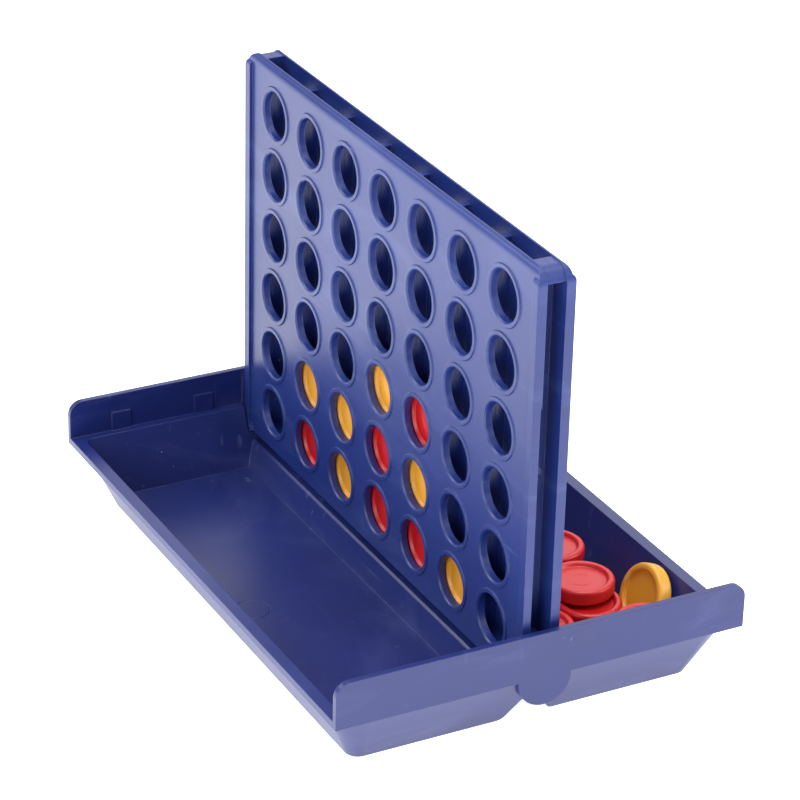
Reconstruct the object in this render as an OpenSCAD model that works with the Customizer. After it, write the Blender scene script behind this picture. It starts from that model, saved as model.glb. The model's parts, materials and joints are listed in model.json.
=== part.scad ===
// Folding four in a row frame: a tray with two wells, a perforated upright
// grid of two shells, two pivot pins and a set of game discs.
// Millimetres, +Z up, +X along the columns, +Y to the well that holds discs.
// The origin is the centre of the tray's footprint, on the ground.

/* [Grid] */
// Distance between column centres
col_pitch = 23.5; // [23:0.1:24]
// Distance between row centres
row_pitch = 20; // [19.5:0.1:20.5]
// Height of the lowest row's centre above the ground
row_bottom_z = 25.74; // [25:0.02:26.5]
// Underside of the grid above the ground
grid_bottom_z = 12.6; // [12.2:0.1:13]
// Top edge of the grid above the ground
grid_top_z = 140.5; // [139:0.5:143]
// Overall length of the grid
grid_len = 179.4; // [178.5:0.1:180]
// Radius of the viewing holes
hole_r = 7.4; // [6.5:0.1:8]
// Outer radius of the raised lip round a hole
lip_r = 9.15; // [8.6:0.05:9.5]
// Half the clear gap between the two shells
gap_half = 2.95; // [2.8:0.05:3.1]
// Thickness of a shell's wall
wall_t = 1.95; // [1.5:0.05:2.2]
// How far the side border stands proud of the wall
border_h = 0.95; // [0.5:0.05:1.2]

/* [Tray] */
// Overall length over the end flanges
tray_len = 186.4; // [185.8:0.1:188]
// Overall width over the long rims
tray_wid = 130; // [128:1:134]
// Height of the rim plane
rim_z = 19.9; // [19.5:0.1:20]
// Top of the end flanges
flange_top_z = 32; // [30:0.5:36]
// Thickness of the end flanges
flange_t = 1.8; // [1.6:0.05:1.9]
// Thickness of the tray's walls and floor
tray_t = 1.6; // [1.2:0.1:2]

/* [Discs] */
// Diameter of a disc
disc_d = 19.9; // [19:0.05:19.9]
// Thickness of a disc
disc_t = 4.8; // [4.2:0.1:5]
// Width of the raised rim of a disc
disc_rim = 2.1; // [1.8:0.1:2.8]
// Depth of the recess in each face
disc_recess = 1.2; // [0.6:0.1:1.4]

/* [Hidden] */
$fn = 64;
e = 0.01;
xo = tray_len / 2;            // outer face of a flange
xi = xo - flange_t;           // inner face of a flange
yo = tray_wid / 2;
gx = grid_len / 2;
yface = gap_half + wall_t;
pin_z = rim_z + yface + border_h + 0.06;
col_w = disc_d + 1.0;
x_col_end = 3 * col_pitch + col_w / 2;
chan_x = x_col_end + 1.55;    // floor of an end channel
body_blue = [0.24, 0.30, 0.60];
red = [0.80, 0.09, 0.10];
yellow = [0.93, 0.68, 0.16];

// ---------- small helpers ----------

// plate outline of the grid seen from the front, with its own corner radii
module grid_outline(inset = 0) {
  rt = 5 - inset * 0.5; rb = 6 - inset * 0.5;
  x = gx - inset; z0 = grid_bottom_z + inset; z1 = grid_top_z - inset;
  union() {
    translate([-x + rb, z0]) square([2 * (x - rb), z1 - z0]);
    translate([-x, z0 + rb]) square([2 * x, z1 - z0 - rb - rt]);
    for (s = [-1, 1]) {
      translate([s * (x - rb), z0 + rb]) circle(r = rb);
      translate([s * (x - rt), z1 - rt]) circle(r = rt);
    }
    translate([-x + rt, z1 - rt - e]) square([2 * (x - rt), rt + e]);
  }
}

// an XZ drawing turned into a slab between y0 and y1
module slab(y0, y1) {
  translate([0, y1, 0]) rotate([90, 0, 0]) linear_extrude(height = y1 - y0) children();
}

// YZ outline of what is cut away to roll the top edge over towards the slot
module roll_cut() {
  a = wall_t - 0.12; b = 2.7; z = grid_top_z; y = -gap_half - 0.12;
  polygon(concat([[y, z + 1], [y, z]],
    [for (i = [1:6]) [y - a * sin(i * 15), z - b * (1 - cos(i * 15))]],
    [[-yface - 3, z - b], [-yface - 3, z + 1]]));
}

// YZ outline that rounds off the borders where the top edge starts to roll
module border_cut() {
  z = grid_top_z - 2.75; y = -yface; h = border_h;
  polygon([[y + 0.25, z + 5], [y + 0.25, z], [y, z], [y - 0.4 * h, z - 0.15], [y - 0.75 * h, z - 0.55],
    [y - h, z - 1.3], [y - h - 1, z - 3.1], [y - h - 1, z + 5]]);
}

// border strips at both ends that turn with the rounded corners
module border_outline() {
  difference() {
    grid_outline();
    x = gx - 3.2; r = 5; z0 = grid_bottom_z - 1.2; z1 = grid_top_z + 1.2;
    union() {
      translate([-x + r, z0]) square([2 * (x - r), z1 - z0]);
      translate([-x, z0 + r]) square([2 * x, z1 - z0 - 2 * r]);
      for (s = [-1, 1], z = [z0 + r, z1 - r]) translate([s * (x - r), z]) circle(r = r);
    }
  }
}

// one wall of the grid, on the -Y side
module wall() {
  difference() {
    union() {
      difference() {
        slab(-yface, -gap_half) grid_outline();
        run_x(-gx - 1, gx + 1) roll_cut();
      }
      // side borders that follow the rounded corners
      difference() {
        slab(-yface - border_h, -yface + 0.2) border_outline();
        run_x(-gx - 1, gx + 1) border_cut();
      }
      // soft lip round every hole
      for (c = [-3:3], r = [0:5])
        translate([c * col_pitch, -yface + 0.2, row_bottom_z + r * row_pitch])
          rotate([90, 0, 0]) cylinder(r1 = lip_r, r2 = lip_r - 0.25, h = 0.2 + 0.4);
    }
    for (c = [-3:3], r = [0:5])
      translate([c * col_pitch, 0, row_bottom_z + r * row_pitch]) rotate([90, 0, 0]) {
        translate([0, 0, gap_half - 1]) cylinder(r = hole_r, h = 6);
        translate([0, 0, yface - 0.1]) cylinder(r1 = hole_r - 0.05, r2 = hole_r + 0.55, h = 0.6);
      }
  }
}

// ribs between the columns, the ends and the bottom strip, from the wall to y1
module ribs(y1, down = 0) {
  // column dividers, a little lower than the slot's edges
  for (c = [-2.5:1:2.5])
    translate([c * col_pitch - (col_pitch - col_w) / 2, -gap_half - e, grid_bottom_z + 1])
      cube([col_pitch - col_w, y1 + gap_half + e, grid_top_z - grid_bottom_z - 4.0]);
  // end walls that are also the floors of the end channels
  for (s = [-1, 1])
    translate([s > 0 ? x_col_end : -chan_x, -gap_half - e, grid_bottom_z + 1])
      cube([chan_x - x_col_end, y1 + gap_half + e, grid_top_z - grid_bottom_z - 2.5]);
  // end blocks that close the channels at the top and turn with the corners
  for (s = [0, 1]) mirror([s, 0, 0]) slab(-gap_half - e, y1) intersection() {
    grid_outline(0.35);
    translate([x_col_end, 136.3]) square([20, 20]);
  }
  // bottom strip that carries the discs
  slab(-gap_half - e, y1) translate([-chan_x, grid_bottom_z])
    square([2 * chan_x, row_bottom_z - disc_d / 2 - 0.02 - grid_bottom_z]);
}

// dimples in the channel floors where the pins rest
module detents() {
  for (s = [-1, 1], z = [pin_z, 76.5])
    translate([s * (chan_x + 2.2), 0, z]) sphere(r = 3.0);
}

// ---------- sub-parts ----------

module grid_front_shell() {
  color(body_blue) difference() {
    union() {
      wall();
      ribs(0);
      // locating pegs
      for (c = [-2.5, -0.5, 0.5, 2.5], z = [35.74, 75.74, 115.74])
        translate([c * col_pitch, -1, z]) rotate([-90, 0, 0]) cylinder(d = 1.4, h = 2.2, $fn = 24);
    }
    detents();
    // step inside the front side of each channel
    for (s = [-1, 1]) translate([s * (gx - 1.0), -gap_half - 0.15, 56])
      cube([2.1, 0.5, 88], center = true);
  }
}

module grid_back_shell() {
  color(body_blue) difference() {
    mirror([0, 1, 0]) union() { wall(); ribs(0); }
    detents();
    for (c = [-2.5, -0.5, 0.5, 2.5], z = [35.74, 75.74, 115.74])
      translate([c * col_pitch, -1, z]) rotate([-90, 0, 0]) cylinder(d = 1.5, h = 2.4, $fn = 24);
  }
}

// round pin: a head that rides in the channel and a journal in the flange
module pivot_pin() {
  translate([0, 0, pin_z]) rotate([0, 90, 0]) {
    translate([0, 0, chan_x + 0.15]) cylinder(d1 = 4.6, d2 = 5.8, h = 0.7, $fn = 48);
    translate([0, 0, chan_x + 0.84]) cylinder(d = 5.8, h = xi - 0.1 - chan_x - 0.84, $fn = 48);
    translate([0, 0, xi - 0.2]) cylinder(d = 3.6, h = 1.25, $fn = 48);
  }
}
module pivot_pin_right() color([0.20, 0.26, 0.56]) pivot_pin();
module pivot_pin_left() color([0.20, 0.26, 0.56]) mirror([1, 0, 0]) pivot_pin();

// the tub that both wells share: a flat floor and walls that lean outwards
module tub(x_top, y_top, z_top, x_foot, y_foot, z_foot, r_top, r_foot) {
  hull() {
    for (s = [-1, 1], m = [-1, 1]) {
      translate([s * (x_top - r_top), m * (y_top - r_top), z_top]) cylinder(r = r_top, h = e, $fn = 32);
      translate([s * (x_foot - r_foot), m * (y_foot - r_foot), z_foot]) cylinder(r = r_foot, h = e, $fn = 32);
    }
  }
}

// a YZ outline run along X between two ends
module run_x(x0, x1) {
  translate([x0, 0, 0]) rotate([90, 0, 90]) linear_extrude(height = x1 - x0) children();
}

// ridge between the wells
module ridge() {
  run_x(-xo, xo) polygon([[-9.0, -1.3], [-8.0, 1.6], [-5.2, 9.1], [-4.5, 9.7],
    [4.5, 9.7], [5.2, 9.1], [8.0, 1.6], [9.0, -1.3]]);
}

// space swept by the grid's lower end as it turns towards the front well: the
// end swings back and up, so the front side only needs the grid's thickness
module grid_swing() {
  intersection() {
    for (s = [0, 1]) mirror([s, 0, 0]) translate([0, 0, pin_z]) rotate([0, 90, 0]) {
      translate([0, 0, 40]) cylinder(r = 14.9, h = 46, $fn = 96);
      translate([0, 0, 85.99]) cylinder(r1 = 14.9, r2 = 11.8, h = 3.96, $fn = 96);
      translate([0, 0, 89.94]) cylinder(r1 = 11.8, r2 = 9.0, h = xi - 89.94, $fn = 96);
    }
    translate([-xi, -6.3, 5]) cube([2 * xi, 30, 30]);
  }
}

module flange_outline() {
  y = yo; z0 = 17.75; z1 = flange_top_z; rt = 4.5;
  union() {
    translate([-y, z0]) square([2 * y, z1 - z0 - rt]);
    translate([-y + rt, z1 - rt - e]) square([2 * (y - rt), rt + e]);
    for (s = [-1, 1]) translate([s * (y - rt), z1 - rt]) circle(r = rt);
  }
}

module base_tray() color(body_blue) {
  difference() {
    union() {
      // outside of the tub
      tub(92.4, 62.8, rim_z - 1.8, 82.8, 54.7, 0, 9, 4);
      // rims and end ledges in one plate
      translate([-xi - 0.9, -yo, rim_z - 1.8]) cube([2 * xi + 1.8, tray_wid, 1.8]);
      // lips hanging from the long rims
      for (s = [-1, 1]) translate([-xi - 0.9, s * (yo - 0.7) - 0.7, 17.75])
        cube([2 * xi + 1.8, 1.4, 1.5]);
      // end flanges
      run_x(xi, xo) flange_outline();
      run_x(-xo, -xi) flange_outline();
      // spacer pads on the flanges' inner faces
      for (s = [-1, 1], y = [-47.85, -19.5, 19.5, 47.85])
        translate([s * (xi - 0.25) - 0.35, y - 3.2, rim_z - 0.5]) cube([0.7, 6.4, 6.7]);
      // half round bosses that close the pockets for the grid's lower corners
      for (s = [-1, 1]) intersection() {
        translate([s * (xo - 2.6), 0, 17.4]) rotate([0, 90, 0])
          cylinder(r = 8.4, h = 5.2, center = true);
        translate([-xo - 1, -9, 0]) cube([2 * xo + 2, 18, rim_z - 0.5]);
      }
    }
    // inside of the wells, leaving the ridge
    difference() {
      tub(88.8, yo - 3.7, rim_z, 81.9, 52.9, tray_t, 2.6, 1.6);
      ridge();
    }
    // hollow under the ridge, its lower edges eased
    run_x(-xo, xo) polygon([[-9.4, -0.5], [-8.7, 0.05], [-7.9, 0.3], [-7.3, 0.75], [-6.9, 1.25],
      [-3.6, 8.0], [3.6, 8.0], [6.9, 1.25], [7.3, 0.75], [7.9, 0.3], [8.7, 0.05], [9.4, -0.5]]);
    // room for the grid's lower end
    grid_swing();
    // sockets for the pivot pins
    for (s = [-1, 1]) translate([s * (xi + 0.1), 0, pin_z]) rotate([0, 90, 0])
      cylinder(d = 3.7, h = 2.4, center = true, $fn = 48);
    // round mark in the floor of the front well
    translate([0, -45.7, tray_t - 0.15]) difference() {
      cylinder(r = 5.6, h = 1);
      translate([0, 0, -1]) cylinder(r = 5.2, h = 3);
    }
  }
}

// ---------- discs ----------

// a disc lying flat on its centre plane, with a rounded rim and a recess each side
module disc(c) {
  R = disc_d / 2; t = disc_t / 2; ri = R - disc_rim; k = disc_recess;
  color(c) rotate_extrude($fn = 72) polygon([
    [0, -t + k], [2.9, -t + k], [3.05, -t + k - 0.14], [3.45, -t + k - 0.14], [3.6, -t + k],
    [ri - 0.75, -t + k], [ri - 0.45, -t + k - 0.08], [ri - 0.2, -t + k - 0.32],
    [ri, -t + 0.28], [ri + 0.25, -t + 0.08], [ri + 0.6, -t],
    [R - 1.1, -t], [R - 0.62, -t + 0.12], [R - 0.25, -t + 0.4], [R - 0.06, -t + 0.8], [R, -t + 1.3],
    [R, t - 1.3], [R - 0.06, t - 0.8], [R - 0.25, t - 0.4], [R - 0.62, t - 0.12], [R - 1.1, t],
    [ri + 0.6, t], [ri + 0.25, t - 0.08], [ri, t - 0.28],
    [ri - 0.2, t - k + 0.32], [ri - 0.45, t - k + 0.08], [ri - 0.75, t - k],
    [3.6, t - k], [3.45, t - k + 0.14], [3.05, t - k + 0.14], [2.9, t - k], [0, t - k]]);
}

// a disc standing in a column: c counts columns from the left, r rows from the bottom
module in_grid(c, r, col, turn = 0)
  translate([(c - 4) * col_pitch, 0, row_bottom_z + (r - 1) * row_pitch])
    rotate([90, turn, 0]) disc(col);

// a disc lying in the back well, its underside at a given layer
module lying(x, y, layer, col, turn = 0)
  translate([x, y, tray_t + 0.02 + (layer - 0.5) * disc_t + (layer - 1) * 0.02])
    rotate([0, 0, turn]) disc(col);

module grid_disc_c2_r1_red() in_grid(2, 1, red, 20);
module grid_disc_c2_r2_yellow() in_grid(2, 2, yellow, 65);
module grid_disc_c3_r1_yellow() in_grid(3, 1, yellow, 110);
module grid_disc_c3_r2_yellow() in_grid(3, 2, yellow, 10);
module grid_disc_c4_r1_red() in_grid(4, 1, red, 140);
module grid_disc_c4_r2_red() in_grid(4, 2, red, 80);
module grid_disc_c4_r3_yellow() in_grid(4, 3, yellow, 33);
module grid_disc_c5_r1_red() in_grid(5, 1, red, 57);
module grid_disc_c5_r2_yellow() in_grid(5, 2, yellow, 160);
module grid_disc_c5_r3_red() in_grid(5, 3, red, 95);
module grid_disc_c6_r1_yellow() in_grid(6, 1, yellow, 48);
// three short stacks, one pair, one disc leaning on the outer wall and a
// stack in the corner
module loose_disc_a1_red() lying(24, 39, 1, red, 15);
module loose_disc_a2_yellow() lying(25.5, 41, 2, yellow, 70);
module loose_disc_a3_red() lying(25, 41.5, 3, red, 120);
module loose_disc_b1_red() lying(45.5, 41, 1, red, 40);
module loose_disc_b2_red() lying(51.5, 39, 2, red, 100);
module loose_disc_b3_red() lying(46, 39.5, 3, red, 152);
module loose_disc_c1_red() lying(61.4, 20.8, 1, red, 5);
module loose_disc_c2_red() lying(57.2, 19.6, 2, red, 88);
module loose_disc_d1_yellow()
  translate([58.2, 54.15, 11.84]) rotate([69.5, 0, 0]) rotate([0, 0, 62]) disc(yellow);
module loose_disc_e1_yellow() lying(71.8, 40.5, 1, yellow, 31);
module loose_disc_e2_red() lying(73.3, 41.0, 2, red, 77);
module loose_disc_e3_red() lying(75.5, 44.5, 3, red, 145);

base_tray();
pivot_pin_left();
pivot_pin_right();
grid_front_shell();
grid_back_shell();
grid_disc_c2_r1_red();
grid_disc_c2_r2_yellow();
grid_disc_c3_r1_yellow();
grid_disc_c3_r2_yellow();
grid_disc_c4_r1_red();
grid_disc_c4_r2_red();
grid_disc_c4_r3_yellow();
grid_disc_c5_r1_red();
grid_disc_c5_r2_yellow();
grid_disc_c5_r3_red();
grid_disc_c6_r1_yellow();
loose_disc_a1_red();
loose_disc_a2_yellow();
loose_disc_a3_red();
loose_disc_b1_red();
loose_disc_b2_red();
loose_disc_b3_red();
loose_disc_c1_red();
loose_disc_c2_red();
loose_disc_d1_yellow();
loose_disc_e1_yellow();
loose_disc_e2_red();
loose_disc_e3_red();
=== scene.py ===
import json
import math
import random

import bmesh
import bpy
from mathutils import Matrix, Vector

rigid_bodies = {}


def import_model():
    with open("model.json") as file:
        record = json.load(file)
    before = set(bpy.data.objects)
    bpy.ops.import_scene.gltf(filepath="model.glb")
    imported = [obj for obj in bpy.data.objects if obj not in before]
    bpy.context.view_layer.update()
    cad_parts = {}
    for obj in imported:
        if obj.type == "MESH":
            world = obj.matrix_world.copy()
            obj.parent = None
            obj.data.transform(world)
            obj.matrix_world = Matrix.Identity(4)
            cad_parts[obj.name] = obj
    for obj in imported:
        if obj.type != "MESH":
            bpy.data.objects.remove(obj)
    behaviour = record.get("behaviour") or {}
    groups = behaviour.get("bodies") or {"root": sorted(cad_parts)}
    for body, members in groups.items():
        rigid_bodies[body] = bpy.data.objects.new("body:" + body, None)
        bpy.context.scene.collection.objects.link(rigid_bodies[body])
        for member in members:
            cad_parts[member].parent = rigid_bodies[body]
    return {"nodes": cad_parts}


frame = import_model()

# the start-up scene's own cube, light and camera are removed
for o in list(bpy.data.objects):
    if o.name in ("Cube", "Light", "Camera"):
        bpy.data.objects.remove(o)

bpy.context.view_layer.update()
nodes = frame["nodes"]
random.seed(7)


# ---------------------------------------------------------------- materials
class Tree:
    """Small helper round a material's node tree."""

    def __init__(self, name):
        self.mat = bpy.data.materials.new(name)
        self.mat.use_nodes = True
        self.t = self.mat.node_tree
        self.t.nodes.clear()
        self.out = self.add("ShaderNodeOutputMaterial")

    def add(self, kind, **values):
        n = self.t.nodes.new(kind)
        for k, v in values.items():
            setattr(n, k, v)
        return n

    def link(self, a, b):
        self.t.links.new(a, b)

    def noise(self, co, scale, detail=3.0, rough=0.55, distort=0.0):
        n = self.add("ShaderNodeTexNoise")
        n.inputs["Scale"].default_value = scale
        n.inputs["Detail"].default_value = detail
        n.inputs["Roughness"].default_value = rough
        n.inputs["Distortion"].default_value = distort
        self.link(co, n.inputs["Vector"])
        return n.outputs["Fac"]

    def mapping(self, co, scale, rot=(0, 0, 0), loc=(0, 0, 0)):
        m = self.add("ShaderNodeMapping")
        m.inputs["Scale"].default_value = scale
        m.inputs["Rotation"].default_value = rot
        m.inputs["Location"].default_value = loc
        self.link(co, m.inputs["Vector"])
        return m.outputs["Vector"]

    def ramp(self, fac, stops):
        r = self.add("ShaderNodeMapRange")
        r.clamp = True
        (a, va), (b, vb) = stops
        r.inputs["From Min"].default_value = a
        r.inputs["From Max"].default_value = b
        r.inputs["To Min"].default_value = va
        r.inputs["To Max"].default_value = vb
        self.link(fac, r.inputs["Value"])
        return r.outputs["Result"]

    def math(self, op, a, b=None, c=None):
        m = self.add("ShaderNodeMath", operation=op)
        for i, v in enumerate((a, b, c)):
            if v is None:
                continue
            if hasattr(v, "is_linked"):
                self.link(v, m.inputs[i])
            else:
                m.inputs[i].default_value = v
        return m.outputs[0]

    def mix(self, fac, a, b):
        m = self.add("ShaderNodeMix", data_type="RGBA")
        for sock, v in (("Factor", fac), ("A", a), ("B", b)):
            s = [i for i in m.inputs if i.name == sock and i.enabled][0]
            if hasattr(v, "is_linked"):
                self.link(v, s)
            elif isinstance(v, (int, float)):
                s.default_value = v
            else:
                s.default_value = (*v, 1.0)
        return [o for o in m.outputs if o.enabled][0]


def scratches(t, co, seed):
    """Thin hairline scratches in two directions, as a 0 to 1 mask."""
    parts = []
    for i, (sc, rot) in enumerate(
        (
            ((14, 520, 520), (0.0, 0.35, 0.4)),
            ((420, 420, 12), (0.3, -0.25, 0.1)),
        )
    ):
        v = t.mapping(co, sc, rot, (seed * 0.37 + i, seed * 0.11, i * 0.5))
        n = t.noise(v, 1.0, 1.0, 0.4)
        line = t.ramp(n, ((0.70, 0.0), (0.76, 1.0)))
        patch = t.ramp(t.noise(co, 45.0 + 20 * i, 2.0), ((0.48, 0.0), (0.62, 1.0)))
        parts.append(t.math("MULTIPLY", line, patch))
    return t.math("MAXIMUM", parts[0], parts[1])


def plastic(
    name, base, light, deep, rough=0.34, seed=1.0, sss=0.0, grain=1.0, scuff=0.35, dust=1.0, round_r=0.0003
):
    """Injection-moulded plastic: slow colour drift, flow marks, fine grain, hairline scratches, a painted highlight
    along the edges and a few specks of dust.
    """
    t = Tree(name)
    tc = t.add("ShaderNodeTexCoord")
    co = tc.outputs["Object"]
    info = t.add("ShaderNodeObjectInfo")
    drift = t.noise(t.mapping(co, (1, 1, 1), (0, 0, 0), (seed, seed * 0.3, 0)), 14.0, 3.0, 0.5, 0.6)
    flow = t.noise(t.mapping(co, (9, 9, 34), (0.1, 0.2, 0), (seed, 0, 0)), 1.6, 4.0, 0.6, 1.4)
    col = t.mix(t.ramp(drift, ((0.3, 0.0), (0.7, 1.0))), deep, base)
    col = t.mix(t.ramp(flow, ((0.52, 0.0), (0.78, 0.22))), col, light)
    sc = scratches(t, co, seed)
    col = t.mix(t.math("MULTIPLY", sc, scuff), col, light)
    # rounded edges, and a painted highlight along them: the edges are mixed toward the paler colour, broken up by noise
    geo = t.add("ShaderNodeNewGeometry")
    rnd = t.add("ShaderNodeBevel", samples=6)
    rnd.inputs["Radius"].default_value = round_r
    dot = t.add("ShaderNodeVectorMath", operation="DOT_PRODUCT")
    t.link(rnd.outputs[0], dot.inputs[0])
    t.link(geo.outputs["Normal"], dot.inputs[1])
    edge = t.ramp(dot.outputs["Value"], ((0.80, 0.42), (0.985, 0.0)))
    painted_edge_highlight = t.math("MULTIPLY", edge, t.ramp(t.noise(co, 160.0, 4.0), ((0.35, 0.3), (0.65, 1.0))))
    # painted highlight: paler plastic along the rounded edges stands in for the light caught on them
    col = t.mix(painted_edge_highlight, col, light)
    # specks of dust
    vor = t.add("ShaderNodeTexVoronoi", feature="F1")
    vor.inputs["Scale"].default_value = 210.0
    t.link(co, vor.inputs["Vector"])
    spot = t.ramp(vor.outputs["Distance"], ((0.035, 1.0), (0.07, 0.0)))
    sep = t.add("ShaderNodeSeparateColor")
    t.link(vor.outputs["Color"], sep.inputs[0])
    few = t.ramp(sep.outputs[0], ((0.965 if dust else 1.1, 0.0), (0.97 if dust else 1.2, 1.0)))
    speck = t.math("MULTIPLY", spot, few)
    col = t.mix(t.math("MULTIPLY", speck, 0.55), col, (0.62, 0.64, 0.72))
    p = t.add("ShaderNodeBsdfPrincipled")
    t.link(col, p.inputs["Base Color"])
    r = t.math("ADD", t.ramp(drift, ((0.3, rough - 0.03), (0.7, rough + 0.05))), t.math("MULTIPLY", sc, 0.18))
    r = t.math("ADD", r, t.math("MULTIPLY", speck, 0.4))
    t.link(r, p.inputs["Roughness"])
    p.inputs["IOR"].default_value = 1.53
    if sss:
        p.inputs["Subsurface Weight"].default_value = sss
        p.inputs["Subsurface Radius"].default_value = (1.0, 0.35, 0.2)
        p.inputs["Subsurface Scale"].default_value = 0.0015
    # grain, flow ripples and scratches as relief
    h = t.math("MULTIPLY", t.noise(co, 1500.0, 2.0), 0.10 * grain)
    h = t.math("ADD", h, t.math("MULTIPLY", flow, 0.5))
    h = t.math("SUBTRACT", h, t.math("MULTIPLY", sc, 0.25))
    h = t.math("ADD", h, t.math("MULTIPLY", speck, 0.5))
    b = t.add("ShaderNodeBump")
    b.inputs["Strength"].default_value = 0.5
    b.inputs["Distance"].default_value = 0.00012
    t.link(h, b.inputs["Height"])
    t.link(rnd.outputs[0], b.inputs["Normal"])
    t.link(b.outputs[0], p.inputs["Normal"])
    t.link(p.outputs[0], t.out.inputs[0])
    return t.mat


blue_tray = plastic(
    "tray_plastic", (0.013, 0.024, 0.150), (0.12, 0.14, 0.36), (0.009, 0.018, 0.118), rough=0.35, seed=3.1
)
blue_grid = plastic(
    "grid_plastic", (0.013, 0.032, 0.190), (0.11, 0.17, 0.42), (0.009, 0.023, 0.150), rough=0.36, seed=8.4
)
blue_pin = plastic(
    "pin_plastic", (0.020, 0.026, 0.14), (0.12, 0.13, 0.33), (0.014, 0.018, 0.10), rough=0.30, seed=5.7
)
reds = [
    plastic(f"disc_red_{i}", (0.60, 0.009, 0.013), (0.80, 0.10, 0.11), (0.50, 0.006, 0.008), rough=0.37, seed=11.0 + i, sss=0.12, scuff=0.3, dust=0.0)
    for i in range(2)
]
yellows = [
    plastic(f"disc_yellow_{i}", (0.84, 0.42, 0.040), (0.95, 0.68, 0.25), (0.74, 0.31, 0.020), rough=0.37, seed=21.0 + i, sss=0.15, scuff=0.3, dust=0.0)
    for i in range(2)
]


def set_material(o, mat):
    o.data.materials.clear()
    o.data.materials.append(mat)


def soften(o, angle=28.0):
    """Joins the imported corners, clears flat triangulation, keeps the sharp edges sharp and weights the normals; the edge rounding itself is in the materials."""
    for p in o.data.polygons:
        p.use_smooth = True
    w = o.modifiers.new("weld", "WELD")
    w.merge_threshold = 2e-6
    d = o.modifiers.new("planar", "DECIMATE")
    d.decimate_type = "DISSOLVE"
    d.angle_limit = math.radians(0.6)
    sp = o.modifiers.new("sharp", "EDGE_SPLIT")
    sp.split_angle = math.radians(angle)
    n = o.modifiers.new("normals", "WEIGHTED_NORMAL")
    n.weight = 90
    n.keep_sharp = True


for name, o in nodes.items():
    if name == "base_tray":
        set_material(o, blue_tray)
        soften(o)
    elif name.startswith("grid_") and name.endswith("shell"):
        set_material(o, blue_grid)
        soften(o)
    elif name.startswith("pivot"):
        set_material(o, blue_pin)
        soften(o)
    else:
        k = sum(map(ord, name)) % 2
        set_material(o, reds[k] if name.endswith("red") else yellows[k])
        soften(o, 50.0)

# ---------------------------------------------------------------- floor, light, camera
ft = Tree("floor")
fco = ft.add("ShaderNodeTexCoord").outputs["Object"]
fn = ft.noise(fco, 3.0, 2.0)
fcol = ft.mix(ft.ramp(fn, ((0.3, 0.0), (0.7, 1.0))), (0.90, 0.90, 0.91), (0.93, 0.93, 0.94))
fp = ft.add("ShaderNodeBsdfPrincipled")
ft.link(fcol, fp.inputs["Base Color"])
fp.inputs["Roughness"].default_value = 0.85
fp.inputs["Emission Color"].default_value = (1.0, 0.99, 1.0, 1.0)
fp.inputs["Emission Strength"].default_value = 0.98
ft.link(fp.outputs[0], ft.out.inputs[0])
me = bpy.data.meshes.new("floor")
bm = bmesh.new()
bmesh.ops.create_circle(bm, cap_ends=True, segments=64, radius=9.0)
bm.to_mesh(me)
bm.free()
floor = bpy.data.objects.new("floor", me)
bpy.context.scene.collection.objects.link(floor)
floor.location.z = -0.0002
me.materials.append(ft.mat)

world = bpy.data.worlds.new("studio")
bpy.context.scene.world = world
world.use_nodes = True
world.node_tree.nodes.clear()
bg = world.node_tree.nodes.new("ShaderNodeBackground")
wo = world.node_tree.nodes.new("ShaderNodeOutputWorld")
# the camera sees a white backdrop, the object is lit by a softer one
backdrop = world.node_tree.nodes.new("ShaderNodeBackground")
backdrop.inputs[0].default_value = (1.0, 1.0, 1.0, 1.0)
backdrop.inputs[1].default_value = 1.0
path = world.node_tree.nodes.new("ShaderNodeLightPath")
pick = world.node_tree.nodes.new("ShaderNodeMixShader")
world.node_tree.links.new(path.outputs["Is Camera Ray"], pick.inputs[0])
world.node_tree.links.new(bg.outputs[0], pick.inputs[1])
world.node_tree.links.new(backdrop.outputs[0], pick.inputs[2])
world.node_tree.links.new(pick.outputs[0], wo.inputs[0])
bg.inputs[0].default_value = (1.0, 0.99, 1.0, 1.0)
bg.inputs[1].default_value = 0.36


def area(name, loc, target, size, power, col=(1, 1, 1)):
    l = bpy.data.lights.new(name, "AREA")
    l.shape = "DISK"
    l.size = size
    l.energy = power
    l.color = col
    o = bpy.data.objects.new(name, l)
    bpy.context.scene.collection.objects.link(o)
    o.location = loc
    o.visible_camera = False
    o.rotation_euler = (Vector(target) - Vector(loc)).to_track_quat("-Z", "Y").to_euler()
    return o


area("key", (-1.15, 0.85, 1.05), (0, 0, 0.05), 1.3, 6.5, (1.0, 0.98, 1.0))
area("floor_wash", (-1.0, -1.1, 1.3), (-0.3, -0.4, 0.0), 1.2, 18.0)
area("front", (0.92, -1.42, 0.85), (0, 0, 0.04), 1.1, 16.0, (1.0, 0.99, 1.0))
area("side", (0.9, 1.3, 0.9), (0, 0.03, 0.03), 0.9, 12.0)
area("top", (0.15, 0.15, 1.5), (0, 0, 0.0), 0.9, 16.0)
bpy.context.scene.view_settings.view_transform = "Standard"

cam = bpy.data.cameras.new("camera")
cam.sensor_width = 36.0
cam.sensor_fit = "HORIZONTAL"
cam.lens = 150.19
cam.clip_start = 0.01
cam.clip_end = 50
cam_o = bpy.data.objects.new("camera", cam)
bpy.context.scene.collection.objects.link(cam_o)
right = Vector((0.4636, 0.8858, 0.0231)).normalized()
down = Vector((0.4074, -0.1900, -0.8933)).normalized()
back = right.cross(-down).normalized()
up = back.cross(right).normalized()
m = Matrix((right, up, back)).transposed().to_4x4()
m.translation = Vector((0.77116, -0.41284, 0.50079))
cam_o.matrix_world = m
bpy.context.scene.camera = cam_o

# ---------------------------------------------------------------- scene update
bpy.context.view_layer.update()
